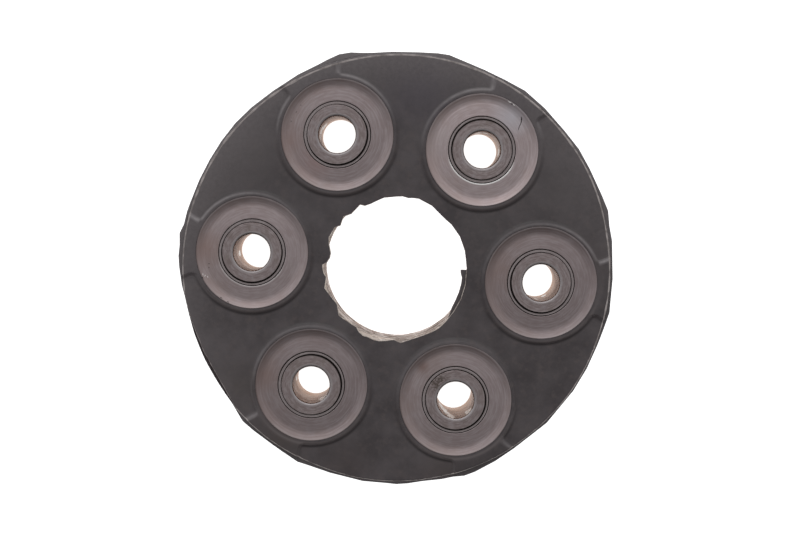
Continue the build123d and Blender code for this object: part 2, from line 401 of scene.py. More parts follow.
def rubber_places(tree):
    """What the rubber's colours follow: where a point is and how its surface lies."""
    place, x, y, z = place_outputs(tree)
    bush = bush_outputs(tree)
    flat_place = add_node(tree, "ShaderNodeCombineXYZ", {0: x, 1: y}).outputs[0]
    from_axis = add_node(tree, "ShaderNodeVectorMath", {0: flat_place},
                         operation="LENGTH").outputs["Value"]
    normal = add_node(tree, "ShaderNodeTexCoord").outputs["Normal"]
    rise = add_node(tree, "ShaderNodeSeparateXYZ", {0: normal}).outputs[2]
    outwards = math_node(tree, "MULTIPLY_ADD", bush["Bush"], -2 * math.pi / BUSHES, bush["Angle"])
    pad_cosine = math_node(tree, "COSINE", outwards)
    reach = along_direction(tree, flat_place, flat_direction(DUSTY_SIDE))
    return SimpleNamespace(
        place=place, z=z, from_axis=from_axis, bush=bush, radius=bush["Radius"],
        levelness=math_node(tree, "ABSOLUTE", rise),     # 1 on a level face, 0 on an upright one
        dusty_side=math_node(tree, "DIVIDE", reach, from_axis),
        pad_turn=outwards, pad_cosine=pad_cosine,        # angle from the middle of the bush's pad
        off_pad=ramp(tree, pad_cosine, *PAD_EDGE))


def moulded_colour(tree, at, mottle, patches, grain):
    """Black rubber: mottled, with brown and violet bloom."""
    body = blend(tree, ramp(tree, mottle, 0.35, 0.65), *RUBBER_COLOURS)
    body = blend(tree, ramp(tree, patches, 0.50, 0.78, 0.0, 0.6), body, PATCH_COLOUR)
    body = blend(tree, ramp(tree, grain, 0.62, 0.85, 0.0, 0.4), body, GRAIN_COLOUR)
    for centre, outer, tint, share in BLOOM:
        cloud = math_node(tree, "MULTIPLY", patch(tree, at.place, centre, 0, outer), share)
        body = blend(tree, cloud, body, tint)
    return body


def dust_and_painted_light(tree, body, at):
    """Rubber's colour with dust towards the rim and on the fin, painted light on the sides of the pads,
    and painted shade on the pads away from the dusty side.
    """
    dusty = ramp(tree, at.dusty_side, -0.75, 1)
    outer = ramp(tree, at.from_axis, DUST_START, DUST_FULL)
    cloudy = ramp(tree, noise(tree, at.place, *DUST_CLOUDS), 0.35, 0.65, 0.75, 1.2)
    body = blend(tree, product(tree, outer, outer, dusty, cloudy), body, DUST_AND_LIGHT_COLOUR)
    fin = product(tree, ramp(tree, at.from_axis, WALL_RADIUS, WALL_RADIUS + 0.1 * MM),
                  ramp(tree, at.levelness, 0.7, 0.9), 0.6)
    body = blend(tree, fin, body, DUST_AND_LIGHT_COLOUR)
    # painted light on the sloping sides of the pads near the rim
    painted_pad_side_light = product(tree, ramp(tree, at.levelness, 0.9, 0.75),
                       ramp(tree, at.from_axis, PAD_SIDE_START, PAD_SIDE_START + MM),
                       ramp(tree, at.from_axis, WALL_RADIUS - 0.5 * MM, WALL_RADIUS - 0.7 * MM), 0.5)
    body = blend(tree, painted_pad_side_light, body, DUST_AND_LIGHT_COLOUR)
    # painted shade on the pads on the side away from the dusty side
    painted_pad_shade = product(tree, ramp(tree, at.off_pad, 1, 0),
                        ramp(tree, at.radius, PAD_START + 0.5 * MM, PAD_START + 1.3 * MM),
                        ramp(tree, at.dusty_side, 0.0, -0.7, 0.0, 0.28))
    return blend(tree, painted_pad_shade, body, PAINTED_RUBBER_SHADE)


def painted_edge_light(tree, body, at):
    """Rubber's colour with painted highlights on the lit sides of the lips and pads, a painted sheen on
    the lips' far sides, and painted shade at the feet of the lips.
    """
    light = facing(tree, at.bush, math.radians(LIGHT_SIDE))
    uneven = ramp(tree, noise(tree, at.place, *WEAR_CLOUDS), 0.3, 0.7, 0.7, 1.2)
    # painted shade at the lips' feet, set by the side facing the light
    foot = product(tree, hump(tree, at.radius, *LIP_FOOT_SHADE), at.off_pad,
                   ramp(tree, math_node(tree, "ABSOLUTE", light), 0.2, 0.9),
                   ramp(tree, light, -0.5, 0.5, 0.8, 0.55))
    body = blend(tree, foot, body, PAINTED_RUBBER_SHADE)
    # painted sheen on the lips' far sides
    far_side = product(tree, hump(tree, at.radius, *LIP_SHEEN), ramp(tree, light, -0.2, -0.8), 0.8)
    body = blend(tree, far_side, body, SHEEN_COLOUR)
    highlight_radius = math_node(tree, "MULTIPLY_ADD", facing(tree, at.bush, math.radians(LEAN_SIDE)),
                           per_bush(tree, at.bush, LIP_LEANS, MM), per_bush(tree, at.bush, LIP_RADII, MM))
    # painted highlight on the lit side of each lip
    lip = product(tree, hump(tree, at.radius, highlight_radius, LIP_HIGHLIGHT_HALF), at.off_pad,
                  ramp(tree, light, 0.0, 0.5), per_bush(tree, at.bush, LIP_HIGHLIGHT_SHARES, 1), uneven,
                  ramp(tree, at.pad_cosine, -0.2, 0.85, 0.5, 1.0))
    body = blend(tree, lip, body, EDGE_HIGHLIGHT_COLOUR)
    # painted highlight along the lit side of each pad
    turned = math_node(tree, "MULTIPLY", per_bush(tree, at.bush, PAD_LIT_SIDES, 1), at.pad_turn)
    inside = product(tree, at.radius,
                     math_node(tree, "SINE", math_node(tree, "SUBTRACT", PAD_SPREAD, turned)))
    pad = product(tree, hump(tree, inside, per_bush(tree, at.bush, PAD_INSETS, MM), PAD_HIGHLIGHT_HALF),
                  ramp(tree, at.radius, PAD_START, PAD_START + 0.5 * MM),
                  ramp(tree, at.pad_cosine, 0.7, 0.8),
                  ramp(tree, at.from_axis, WALL_RADIUS - 0.1 * MM, WALL_RADIUS - 0.2 * MM),
                  per_bush(tree, at.bush, PAD_HIGHLIGHT_SHARES, 1), uneven)
    return blend(tree, pad, body, EDGE_HIGHLIGHT_COLOUR)


def torn_wall(tree, at):
    """Colour of the hole's torn wall: pale scuffs with dark streaks and flecks."""
    clouds = noise(tree, at.place, *SCUFF_CLOUDS)
    streaks = noise(tree, scaled_vector(tree, at.place, STREAK_STRETCH), *SCUFF_STREAKS)
    flecks = noise(tree, at.place, *SCUFF_FLECKS)
    scuff = blend(tree, ramp(tree, clouds, 0.44, 0.56), *SCUFF_COLOURS)
    scuff = blend(tree, ramp(tree, streaks, 0.42, 0.54, 0.15, 1.0), STREAK_COLOUR, scuff)
    scuff = blend(tree, ramp(tree, flecks, 0.52, 0.66, 0.0, 0.45), scuff, FLECK_COLOUR)
    for centre, outer, tint in WALL_PATCHES:
        near = math_node(tree, "ADD", patch(tree, at.place, centre, 0, outer), clouds)
        scuff = blend(tree, ramp(tree, near, 0.75, 0.95, 0.0, 0.85), scuff, tint)
    return scuff


def rubber_material():
    """Black moulded rubber: dusty above, with painted highlights and painted shade round the lips and
    pads, painted shade on its walls, torn and scuffed in the hole.
    """
    material, tree, shader = new_material("moulded_rubber")
    at = rubber_places(tree)
    mottle = noise(tree, at.place, *MOTTLE)
    patches = noise(tree, at.place, *PATCHES)
    grain = noise(tree, at.place, *GRAIN)
    body = dust_and_painted_light(tree, moulded_colour(tree, at, mottle, patches, grain), at)
    body = painted_edge_light(tree, body, at)
    # painted shade: upright walls take darker colours than the level faces
    wall = blend(tree, ramp(tree, patches, 0.35, 0.65), *WALL_SHADE_COLOURS)
    between_walls = product(tree, ramp(tree, at.from_axis, RIM_WALL_START + 0.5 * MM, RIM_WALL_START),
                            ramp(tree, at.from_axis, HOLE_WALL_END - 0.5 * MM, HOLE_WALL_END))
    up_facing = math_node(tree, "MAXIMUM", ramp(tree, at.levelness, 0.42, 0.62), between_walls)
    body = blend(tree, up_facing, wall, body)
    below_skin = ramp(tree, at.z, SKIN_END + 0.05 * MM, SKIN_END - 0.05 * MM)
    flap = product(tree, ramp(tree, at.from_axis, FLAP_RADIUS, FLAP_RADIUS - 0.06 * MM), below_skin,
                   ramp(tree, at.z, 0, MM))
    body = blend(tree, flap, body, FLAP_COLOUR)
    scuffed = product(tree, ramp(tree, at.from_axis, FLAP_RADIUS, FLAP_RADIUS + 0.06 * MM),
                      ramp(tree, at.from_axis, SCUFF_END, SCUFF_END - 0.1 * MM), below_skin)
    tree.links.new(blend(tree, scuffed, body, torn_wall(tree, at)), shader.inputs["Base Color"])
    tree.links.new(ramp(tree, patches, 0.3, 0.7, 0.36, 0.52), shader.inputs["Roughness"])
    tree.links.new(ramp(tree, up_facing, 0, 1, 0.0, 0.5), shader.inputs["Specular IOR Level"])
    past_middle = ramp(tree, at.radius, LIP_MIDDLE, LIP_END)
    dome = product(tree, past_middle, past_middle, at.off_pad, -LIP_DOME / RELIEF)
    relief = math_node(tree, "MULTIPLY_ADD", grain, 0.25, mottle)
    add_bump(tree, shader, math_node(tree, "ADD", relief, dome), RELIEF)
    return material


# ---- steel ---------------------------------------------------------------------------
# least and most roughness
FLANGE_SHINE = (0.38, 0.50)
SLEEVE_SHINE = (0.40, 0.56)
TUBE_SHINE = (0.42, 0.55)
# base colours: dark, mid and light
FLANGE_COLOURS = ((0.272, 0.221, 0.222), (0.32, 0.269, 0.272), (0.38, 0.329, 0.338))
SLEEVE_COLOURS = ((0.235, 0.19, 0.19), (0.285, 0.238, 0.238), (0.335, 0.288, 0.288))
TUBE_COLOURS = ((0.27, 0.23, 0.23), (0.34, 0.30, 0.30), (0.42, 0.37, 0.37))
FLANGE_TONES = (0.93, 1.32, 1.02, 1.11, 0.92, 1.03)      # brightness of bush 1 to 6
SLEEVE_TONE = 1.03
SPECK_COLOUR = (0.08, 0.06, 0.055)
FLANGE_RUST = (0.275, 0.212, 0.20)
RUSTY_SIDE = 190             # degrees from +X round each bush
RUST_START = 13.5 * MM       # radius from which a flange is rustier
RUST_FULL = 17.5 * MM
SEAM_COLOUR = (0.03, 0.024, 0.023)                       # dirt in the seams round a sleeve and a tube
# dirt on the left of a rim, also used as painted shade on its lit side
RIM_DIRT_AND_SHADE = (0.12, 0.09, 0.085)
BORE_EDGE_HIGHLIGHT = (0.375, 0.345, 0.35)                       # painted highlight on the rounding of a bore
EDGE_START = 7.3 * MM        # radius where that highlight starts to show
EDGE_FULL = 6.5 * MM         # radius where it is strongest
BROWN_BLOTCH = (0.20, 0.165, 0.15)
PALE_BLOTCH = (0.34, 0.305, 0.315)
PIT_COLOUR = (0.13, 0.105, 0.095)

# noise patterns: scale per metre, detail, roughness
STEEL_CLOUDS = (150, 4, 0.6)
STEEL_SPECKS = (2600, 2, 0.5)
STAIN_CLOUDS = (210, 4, 0.6)
BLOTCHES = (420, 3, 0.6)
PITS = (1500, 2, 0.6)
BORE_CLOUDS = (240, 3, 0.6)
# marks drawn out by the turning: scale across per metre, along per radian, detail, roughness
STREAKS = (900, 1.6, 3, 0.55)
ARCS = (2200, 4, 2, 0.5)
# rings and tool marks: rough length of one swing from dark to light and back
FLANGE_RING_PITCH = 0.55 * MM
SLEEVE_RING_PITCH = 0.75 * MM
TUBE_RING_PITCH = 0.3 * MM
TOOL_MARK_PITCH = 0.9 * MM
FLANGE_RING_DEPTH = 0.012 * MM
SLEEVE_RING_DEPTH = 0.035 * MM
TUBE_RING_DEPTH = 0.015 * MM
RING_SHIFT = 0.37            # step in the pattern from bush to bush, so that no two have the same rings

# painted light along a flange's rim, painted shade and a painted highlight on the lit side and a painted
# highlight on the far side: distance inside it in mm, half width in mm, lit side or not, share, colour
RIM_LIGHT_MARKS = [
    (0.75, 0.4, True, 0.35, RIM_DIRT_AND_SHADE),
    (0.3, 0.3, True, 0.3, (0.62, 0.57, 0.58)),
    (0.5, 0.5, False, 0.12, (0.66, 0.62, 0.62)),
]

# painted highlight on the lower side of a flange's mouth: bush and share
MOUTH_HIGHLIGHT_SHARES = {2: 0.9, 4: 0.25}
MOUTH_HIGHLIGHT_SIDE = 272            # degrees from +X
MOUTH_GLINT = (0.95, 0.93, 0.92)

# stains on the flanges, and a painted reflection on flange 2: place in mm from the bush's centre, radius
# in mm, colour, share
STAINS_AND_SHEEN = {
    1: [((-14, 3), 8, (0.26, 0.19, 0.175), 0.5)],
    # the first patch of flange 2 is a painted reflection, pale and bluish
    2: [((8.7, 11.7), 8, (0.47, 0.46, 0.50), 0.7), ((-13, 2), 8, (0.42, 0.37, 0.375), 0.4)],
    3: [((-6, -9.8), 7, (0.33, 0.235, 0.23), 0.7), ((-15, -4), 7, (0.28, 0.20, 0.185), 0.5)],
    4: [((-15.5, 0), 7, (0.29, 0.205, 0.185), 0.7)],
    5: [((-15.5, 2), 7, (0.25, 0.18, 0.165), 0.7), ((0, 17), 7, (0.22, 0.17, 0.165), 0.5)],
    6: [((-11.8, 9.7), 2.6, (0.19, 0.125, 0.11), 0.8), ((-8, 13), 9, (0.27, 0.215, 0.205), 0.4)],
}

# dirt in the seam round a sleeve is widest on one side: bush, degrees from +X
SEAM_SIDES = {1: 238, 2: 116, 3: 318, 4: 266, 5: 46, 6: 316}
SEAM_SHIFT = 0.13 * MM       # what the seam gains there
ROUGH_PLACE = (17.9, -36.4, 17.5)                        # rough brown place on a sleeve's end, mm
ROUGH_RADII = (1.5, 4.5)                                 # where it is full and where it ends, mm

# tan of the bores: painted light at the foot, painted shade at the top, in clouds and along the tool's
# marks
TAN_LIT_TO_SHADED = ((0.50, 0.30, 0.19), (0.27, 0.125, 0.065))
TAN_CLOUD = (0.46, 0.33, 0.26)
TOOL_MARK = (0.20, 0.11, 0.065)
# bare spots in the bores: bush, degrees from +X, height in mm, radius in mm
BARE_SPOT = (0.93, 0.90, 0.87)
BORE_SPOT_SQUEEZE = 0.25     # spots are drawn out along the bore by the inverse of this
BORE_SPOTS = [
    (6, 228, -4, 1.9), (6, 240, 0, 2.0), (6, 250, 6, 2.0), (6, 262, 13, 1.8), (6, 325, 15, 2.0),
    (6, 318, 10, 1.4), (5, 320, 15, 2.3), (5, 305, 9, 1.6), (5, 182, -4, 1.3),
    (4, 195, -6, 1.5), (3, 170, 4, 2.4), (3, 152, -4, 2.0), (3, 192, 8, 1.5),
    (2, 2, 4, 2.0), (2, 104, 0, 1.9), (2, 80, 4, 1.5), (1, 58, 0, 1.6), (1, 300, -8, 1.4),
    (1, 268, 4, 1.2),
]


def turning_noise(tree, bush, across, along, detail, roughness):
    """Noise that is drawn out round each bush's axis."""
    place = add_node(tree, "ShaderNodeCombineXYZ",
                     {0: math_node(tree, "MULTIPLY", bush["Radius"], across),
                      1: math_node(tree, "MULTIPLY", bush["Angle"], along),
                      2: bush["Bush"]}).outputs[0]
    return noise(tree, place, 1.0, detail, roughness)


def turned_steel(name, colours, shine, ring_pitch, ring_depth, tone=1.0, ring_share=0.5, arc_share=0.38):
    """Turned steel with rings about each bush's axis; shine is the least and most roughness."""
    material, tree, shader = new_material(name)
    place = add_node(tree, "ShaderNodeTexCoord").outputs["Object"]
    bush = bush_outputs(tree)
    ring_place = math_node(tree, "MULTIPLY_ADD", bush["Bush"], RING_SHIFT, bush["Radius"])
    rings = noise(tree, ring_place, 1 / ring_pitch, 3, 0.6, "1D")
    streaks = turning_noise(tree, bush, *STREAKS)
    arcs = turning_noise(tree, bush, *ARCS)
    clouds = noise(tree, place, *STEEL_CLOUDS)
    specks = noise(tree, place, *STEEL_SPECKS)
    dark, mid, light = [tuple(tone * part for part in colour) for colour in colours]
    colour = blend(tree, ramp(tree, clouds, 0.36, 0.64), dark, mid)
    colour = blend(tree, ramp(tree, streaks, 0.45, 0.75, 0.0, 0.3), colour, light)
    colour = blend(tree, ramp(tree, rings, 0.50, 0.66, 0.0, ring_share), colour, dark)
    colour = blend(tree, ramp(tree, rings, 0.48, 0.36, 0.0, 0.8 * ring_share), colour, light)
    colour = blend(tree, ramp(tree, arcs, 0.50, 0.62, 0.0, arc_share), colour, dark)
    colour = blend(tree, ramp(tree, arcs, 0.50, 0.38, 0.0, arc_share), colour, light)
    colour = blend(tree, ramp(tree, specks, 0.70, 0.80, 0.0, 0.5), colour, SPECK_COLOUR)
    tree.links.new(colour, shader.inputs["Base Color"])
    shader.inputs["Metallic"].default_value = 1.0
    tree.links.new(ramp(tree, clouds, 0.3, 0.7, *shine), shader.inputs["Roughness"])
    add_bump(tree, shader, rings, ring_depth)
    return material


def stain_flange(material, number, tone, bush):
    """Rust towards a flange's rim and on one side, and the bush's own stains, with a painted reflection
    on flange 2.
    """
    tree = material.node_tree
    place = add_node(tree, "ShaderNodeTexCoord").outputs["Object"]
    near_rim = ramp(tree, bush["Radius"], RUST_START, RUST_FULL, 0.0, 0.25)
    sided = math_node(tree, "MULTIPLY_ADD", facing(tree, bush, math.radians(RUSTY_SIDE)), 0.16,
                      noise(tree, place, *STAIN_CLOUDS))
    rust = math_node(tree, "ADD", near_rim, sided)
    repaint(material, ramp(tree, rust, 0.55, 0.95, 0.0, 0.5),
            tuple(tone * part for part in FLANGE_RUST))
    centre = bush_centre(number) + Vector((0, 0, FLANGE_LEVEL))
    for (across, up), outer, tint, share in STAINS_AND_SHEEN[number]:
        spot = centre / MM + Vector((across, up, 0))
        repaint(material, product(tree, patch(tree, place, spot, 0, outer), share), tint)


def mark_flange_edges(material, number, bush):
    """Painted highlight on the mouth, dirt on the left of the rim, painted shade and painted highlights
    along the rim, and the dirty seam at the tube.
    """
    tree = material.node_tree
    radius = bush["Radius"]
    # painted highlight on the lower side of the mouth
    if number in MOUTH_HIGHLIGHT_SHARES:
        lower = ramp(tree, facing(tree, bush, math.radians(MOUTH_HIGHLIGHT_SIDE)), 0.25, 0.55)
        ring = ramp(tree, radius, TUBE_RADIUS + 0.75 * MM, TUBE_RADIUS + 0.45 * MM)
        repaint(material, product(tree, lower, ring, MOUTH_HIGHLIGHT_SHARES[number]), MOUTH_GLINT)
    left = ramp(tree, facing(tree, bush, math.pi), 0.3, 0.9)
    rim = ramp(tree, radius, FLANGE_RADIUS - 0.6 * MM, FLANGE_RADIUS - 0.2 * MM)
    repaint(material, product(tree, rim, left, 0.5), RIM_DIRT_AND_SHADE)
    # painted shade and painted highlights along the rim, set by the side facing the light
    light = facing(tree, bush, math.radians(LIGHT_SIDE))
    lit_side = ramp(tree, light, 0.1, 0.6)
    far_side = ramp(tree, light, -0.3, -0.8)
    for inside, half_width, lit, share, tint in RIM_LIGHT_MARKS:
        ring = hump(tree, radius, FLANGE_RADIUS - inside * MM, half_width * MM)
        repaint(material, product(tree, ring, lit_side if lit else far_side, share), tint)
    seam = ramp(tree, radius, TUBE_RADIUS + 0.20 * MM, TUBE_RADIUS + 0.08 * MM)
    repaint(material, seam, SEAM_COLOUR)


def flange_material(number, tone):
    """Flange of one bush, with its own tone, rust and stains."""
    material = turned_steel(f"flange_steel_{number}", FLANGE_COLOURS, FLANGE_SHINE,
                            FLANGE_RING_PITCH, FLANGE_RING_DEPTH, tone)
    bush = bush_outputs(material.node_tree)
    stain_flange(material, number, tone, bush)
    mark_flange_edges(material, number, bush)
    return material


def seam_lean(tree, bush):
    """1 on the side of a bush where its seam is widest, and -1 on the other side."""
    return facing(tree, bush, per_bush(tree, bush, SEAM_SIDES, math.radians(1)))


def bore_colour(tree, place, z):
    """Tan of a bore: painted light at the foot and painted shade towards the top, with tool marks and
    bare bright spots.
    """
    clouds = noise(tree, place, *BORE_CLOUDS)
    # painted light at the foot by the opening, painted shade towards the top
    tan = blend(tree, ramp(tree, z, FLOOR + 0.5 * MM, TOP - 1.5 * MM), *TAN_LIT_TO_SHADED)
    tan = blend(tree, ramp(tree, clouds, 0.45, 0.70, 0.0, 0.6), tan, TAN_CLOUD)
    tool_marks = noise(tree, z, 1 / TOOL_MARK_PITCH, 2, 0.6, "1D")
    tan = blend(tree, ramp(tree, tool_marks, 0.52, 0.68, 0.0, 0.5), tan, TOOL_MARK)
    squeezed = scaled_vector(tree, place, (1, 1, BORE_SPOT_SQUEEZE))
    for number, turn, level, outer in BORE_SPOTS:
        spot = (bush_centre(number) + BORE_RADIUS * flat_direction(turn)) / MM
        spot.z = level * BORE_SPOT_SQUEEZE
        near = patch(tree, squeezed, spot, 0, outer)
        bare = ramp(tree, math_node(tree, "ADD", near, clouds), 0.75, 0.95)
        tan = blend(tree, bare, tan, BARE_SPOT)
    return tan


def sleeve_material():
    """Sleeve: blotched turned ends, a painted highlight on the rounding, a tan bore and dirt in the seam
    round it.
    """
    material = turned_steel("sleeve_steel", SLEEVE_COLOURS, SLEEVE_SHINE,
                            SLEEVE_RING_PITCH, SLEEVE_RING_DEPTH, SLEEVE_TONE,
                            ring_share=0.9, arc_share=0.75)
    tree = material.node_tree
    place, _, _, z = place_outputs(tree)
    bush = bush_outputs(tree)
    radius = bush["Radius"]
    blotches = noise(tree, place, *BLOTCHES)
    repaint(material, ramp(tree, blotches, 0.52, 0.70, 0.0, 0.5), BROWN_BLOTCH)
    repaint(material, ramp(tree, blotches, 0.44, 0.30, 0.0, 0.5), PALE_BLOTCH)
    rough = patch(tree, place, ROUGH_PLACE, *ROUGH_RADII)
    pits = ramp(tree, noise(tree, place, *PITS), 0.42, 0.55)
    repaint(material, product(tree, rough, pits), PIT_COLOUR)
    # painted highlight on the bore's rounding
    repaint(material, ramp(tree, radius, EDGE_START, EDGE_FULL), BORE_EDGE_HIGHLIGHT)
    in_bore = ramp(tree, radius, BORE_RADIUS + 0.25 * MM, BORE_RADIUS + 0.07 * MM)
    repaint(material, in_bore, bore_colour(tree, place, z))
    widened = math_node(tree, "MULTIPLY_ADD", seam_lean(tree, bush), SEAM_SHIFT, radius)
    seam = ramp(tree, widened, SLEEVE_RADIUS - 0.18 * MM, SLEEVE_RADIUS - 0.06 * MM)
    repaint(material, seam, SEAM_COLOUR)
    return material


def tube_material():
    """Tube: turned end with dirt in the seams on both sides."""
    material = turned_steel("tube_steel", TUBE_COLOURS, TUBE_SHINE, TUBE_RING_PITCH, TUBE_RING_DEPTH)
    tree = material.node_tree
    bush = bush_outputs(tree)
    radius = bush["Radius"]
    widened = math_node(tree, "MULTIPLY_ADD", seam_lean(tree, bush), -SEAM_SHIFT, radius)
    inner_seam = ramp(tree, widened, TUBE_BORE + 0.09 * MM, TUBE_BORE - 0.01 * MM)
    outer_seam = ramp(tree, radius, TUBE_RADIUS - 0.16 * MM, TUBE_RADIUS - 0.08 * MM)
    repaint(material, inner_seam, SEAM_COLOUR)
    repaint(material, outer_seam, SEAM_COLOUR)
    return material


# ---- cord ----------------------------------------------------------------------------
CORD_COLOURS = ((0.20, 0.16, 0.10), (0.55, 0.48, 0.36))
CORD_TURNS = 260.0           # scale of the turns per metre
CORD_RELIEF = 0.3 * MM


def cord_material():
    """Wound cord: tight turns across the winding's height."""
    material, tree, shader = new_material("wound_cord")
    place = add_node(tree, "ShaderNodeTexCoord").outputs["Object"]
    turns = add_node(tree, "ShaderNodeTexWave", {"Vector": place, "Scale": CORD_TURNS, "Distortion": 1.5},
                     bands_direction="Z").outputs["Fac"]
    tree.links.new(blend(tree, turns, *CORD_COLOURS), shader.inputs["Base Color"])
    shader.inputs["Roughness"].default_value = 0.85
    add_bump(tree, shader, turns, CORD_RELIEF)
    return material


# ---- each node's material ------------------------------------------------------------
def dress(name, material):
    """Give a node one material."""
    NODES[name].data.materials.clear()
    NODES[name].data.materials.append(material)


sleeve_steel = sleeve_material()
tube_steel = tube_material()
cord = cord_material()
dress("rubber_disc", rubber_material())
for name in NODES:
    if name.startswith("cord_loop"):
        dress(name, cord)
for number in range(1, BUSHES + 1):
    flange_steel = flange_material(number, FLANGE_TONES[number - 1])
    dress(f"upper_flange_{number}", flange_steel)
    dress(f"lower_flange_{number}", flange_steel)
    dress(f"bolt_sleeve_{number}", sleeve_steel)
    dress(f"spool_tube_{number}", tube_steel)


# ---- fine traces on the surfaces -----------------------------------------------------
RIDGE_SECTION = ((-1, -0.3), (-0.7, 0.6), (0, 1), (0.7, 0.6), (1, -0.3))
FULL_RIDGE = 0.1 * MM        # half width from which a ridge has its full height
TRACE_STEP = 0.25            # degrees


def surface_tree(name):
    """Search tree of a node's surface, in the frame's axes."""
    node = NODES[name]
    corners = [node.matrix_world @ vertex.co for vertex in node.data.vertices]
    return BVHTree.FromPolygons(corners, [face.vertices[:] for face in node.data.polygons])


def height_at(surface, x, y):
    """Height of the upper surface at a place, or None over an opening."""
    hit = surface.ray_cast(Vector((x, y, TOP + MM)), Vector((0, 0, -1)))
    return hit[0].z if hit[0] else None


def ridge_corners(places, half_widths, height, closed):
    """Corners of a ridge, one section after another."""
    corners = []
    count = len(places)
    for index, place in enumerate(places):
        ahead = places[(index + 1) % count if closed else min(index + 1, count - 1)]
        behind = places[index - 1 if closed else max(index - 1, 0)]
        side = (ahead - behind).cross(Vector((0, 0, 1))).normalized()
        half = half_widths[index]
        rise = height * min(1, half / FULL_RIDGE)
        for across, up in RIDGE_SECTION:
            corners.append(place + side * across * half + Vector((0, 0, up * rise)))
    return corners


def add_ridge(name, places, half_widths, height, material, closed=False):
    """Low rounded ridge laid along places, with its own half width at each."""
    width = len(RIDGE_SECTION)
    count = len(places)
    faces = []
    for index in range(count if closed else count - 1):
        following = (index + 1) % count
        for step in range(width - 1):
            faces.append((index * width + step, index * width + step + 1,
                          following * width + step + 1, following * width + step))
    mesh = bpy.data.meshes.new(name)
    mesh.from_pydata(ridge_corners(places, half_widths, height, closed), [], faces)
    mesh.materials.append(material)
    for face in mesh.polygons:
        face.use_smooth = True
    piece = add_object(name, mesh)
    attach(piece, "root")


def pale_material(name, dull, pale, scale):
    """Pale rubber in broken stretches, for the painted highlight on the rim and for torn rubber."""
    material, tree, shader = new_material(name)
    place = add_node(tree, "ShaderNodeTexCoord").outputs["Object"]
    breaks = noise(tree, place, scale, 4, 0.6)
    tree.links.new(blend(tree, ramp(tree, breaks, 0.38, 0.58), dull, pale), shader.inputs["Base Color"])
    shader.inputs["Roughness"].default_value = 0.55
    return material


def value_at(angle, table):
    """Value between given pairs of angle and value round the full turn."""
    pairs = [(table[-1][0] - 360, table[-1][1]), *table, (table[0][0] + 360, table[0][1])]
    for (low, first), (high, second) in zip(pairs, pairs[1:]):
        if low <= angle <= high:
            return first + (second - first) * (angle - low) / (high - low)


def wander(angle, pace, seed):
    """Smooth repeatable value around 1 that changes along a trace."""
    return 1 + 0.8 * smooth_noise.noise(Vector((angle * pace, seed, 0)))


rubber_surface = surface_tree("rubber_disc")
angles = [TRACE_STEP * step for step in range(round(360 / TRACE_STEP))]


def face_place(angle, radius, step, drop):
    """First place from a radius on, going by steps, that is less than a drop below the rubber's face."""
    while True:
        place = radius * flat_direction(angle)
        level = height_at(rubber_surface, place.x, place.y)
        if level and level > FACE_LEVEL - drop:
            return Vector((place.x, place.y, level))
        radius += step


# the mould's witness line on the rim, pale, and wider on the lit side as a painted highlight: degrees
# from +X with its radius in mm, or its width's share
RIM_LINE_RADII = [(0, 70.45), (15, 70.25), (30, 70.55), (45, 70.5), (60, 70.45), (75, 70.3), (90, 70.2),
                  (105, 70.0), (120, 69.95), (135, 70.0), (150, 70.25), (165, 70.3), (180, 70.5),
                  (240, 70.75), (255, 70.6), (270, 70.9), (300, 71.0), (315, 70.7), (330, 70.75),
                  (345, 70.55)]
RIM_LINE_SHARES = [(0, 0.8), (20, 0.75), (40, 0.9), (90, 1.0), (120, 1.15), (150, 1.05), (165, 0.95),
                   (180, 0.6), (198, 0.45), (224, 0.45), (232, 0.65), (246, 0.65), (256, 0.6),
                   (284, 0.6), (298, 0.45), (315, 0.5), (330, 0.65), (350, 0.75)]
RIM_LINE_HALF = 0.30 * MM
RIM_HIGHLIGHT_COLOURS = ((0.20, 0.173, 0.168), (0.42, 0.375, 0.365))
LINE_HEIGHT = 0.05 * MM
# painted highlight along the rim's witness line
rim_highlight = pale_material("painted_rim_highlight", *RIM_HIGHLIGHT_COLOURS, scale=300)
add_ridge("rim_line",
          [face_place(angle, value_at(angle, RIM_LINE_RADII) * MM, step=-0.05 * MM, drop=0.25 * MM)
           for angle in angles],
          [RIM_LINE_HALF * value_at(angle, RIM_LINE_SHARES) * wander(angle, pace=0.3, seed=3)
           for angle in angles],
          LINE_HEIGHT, rim_highlight, closed=True)

# torn line round the hole's mouth: degrees from +X with its width's share
TORN_SHARES = [(0, 0.6), (8, 0.1), (118, 0.1), (124, 0.6), (150, 0.7), (182, 1.0), (220, 1.0),
               (250, 1.0), (290, 0.9), (318, 0.6), (340, 0.6)]
TORN_LINE_HALF = 0.13 * MM
TORN_COLOURS = ((0.34, 0.28, 0.25), (0.78, 0.69, 0.62))
MOUTH_START = 20 * MM        # radius that lies inside the mouth all round
torn_edge = pale_material("torn_edge", *TORN_COLOURS, scale=500)
add_ridge("mouth_line",
          [face_place(angle, MOUTH_START, step=0.04 * MM, drop=0.1 * MM) for angle in angles],
          [TORN_LINE_HALF * value_at(angle, TORN_SHARES) * wander(angle, pace=1.3, seed=9)
           for angle in angles],
          LINE_HEIGHT, torn_edge, closed=True)

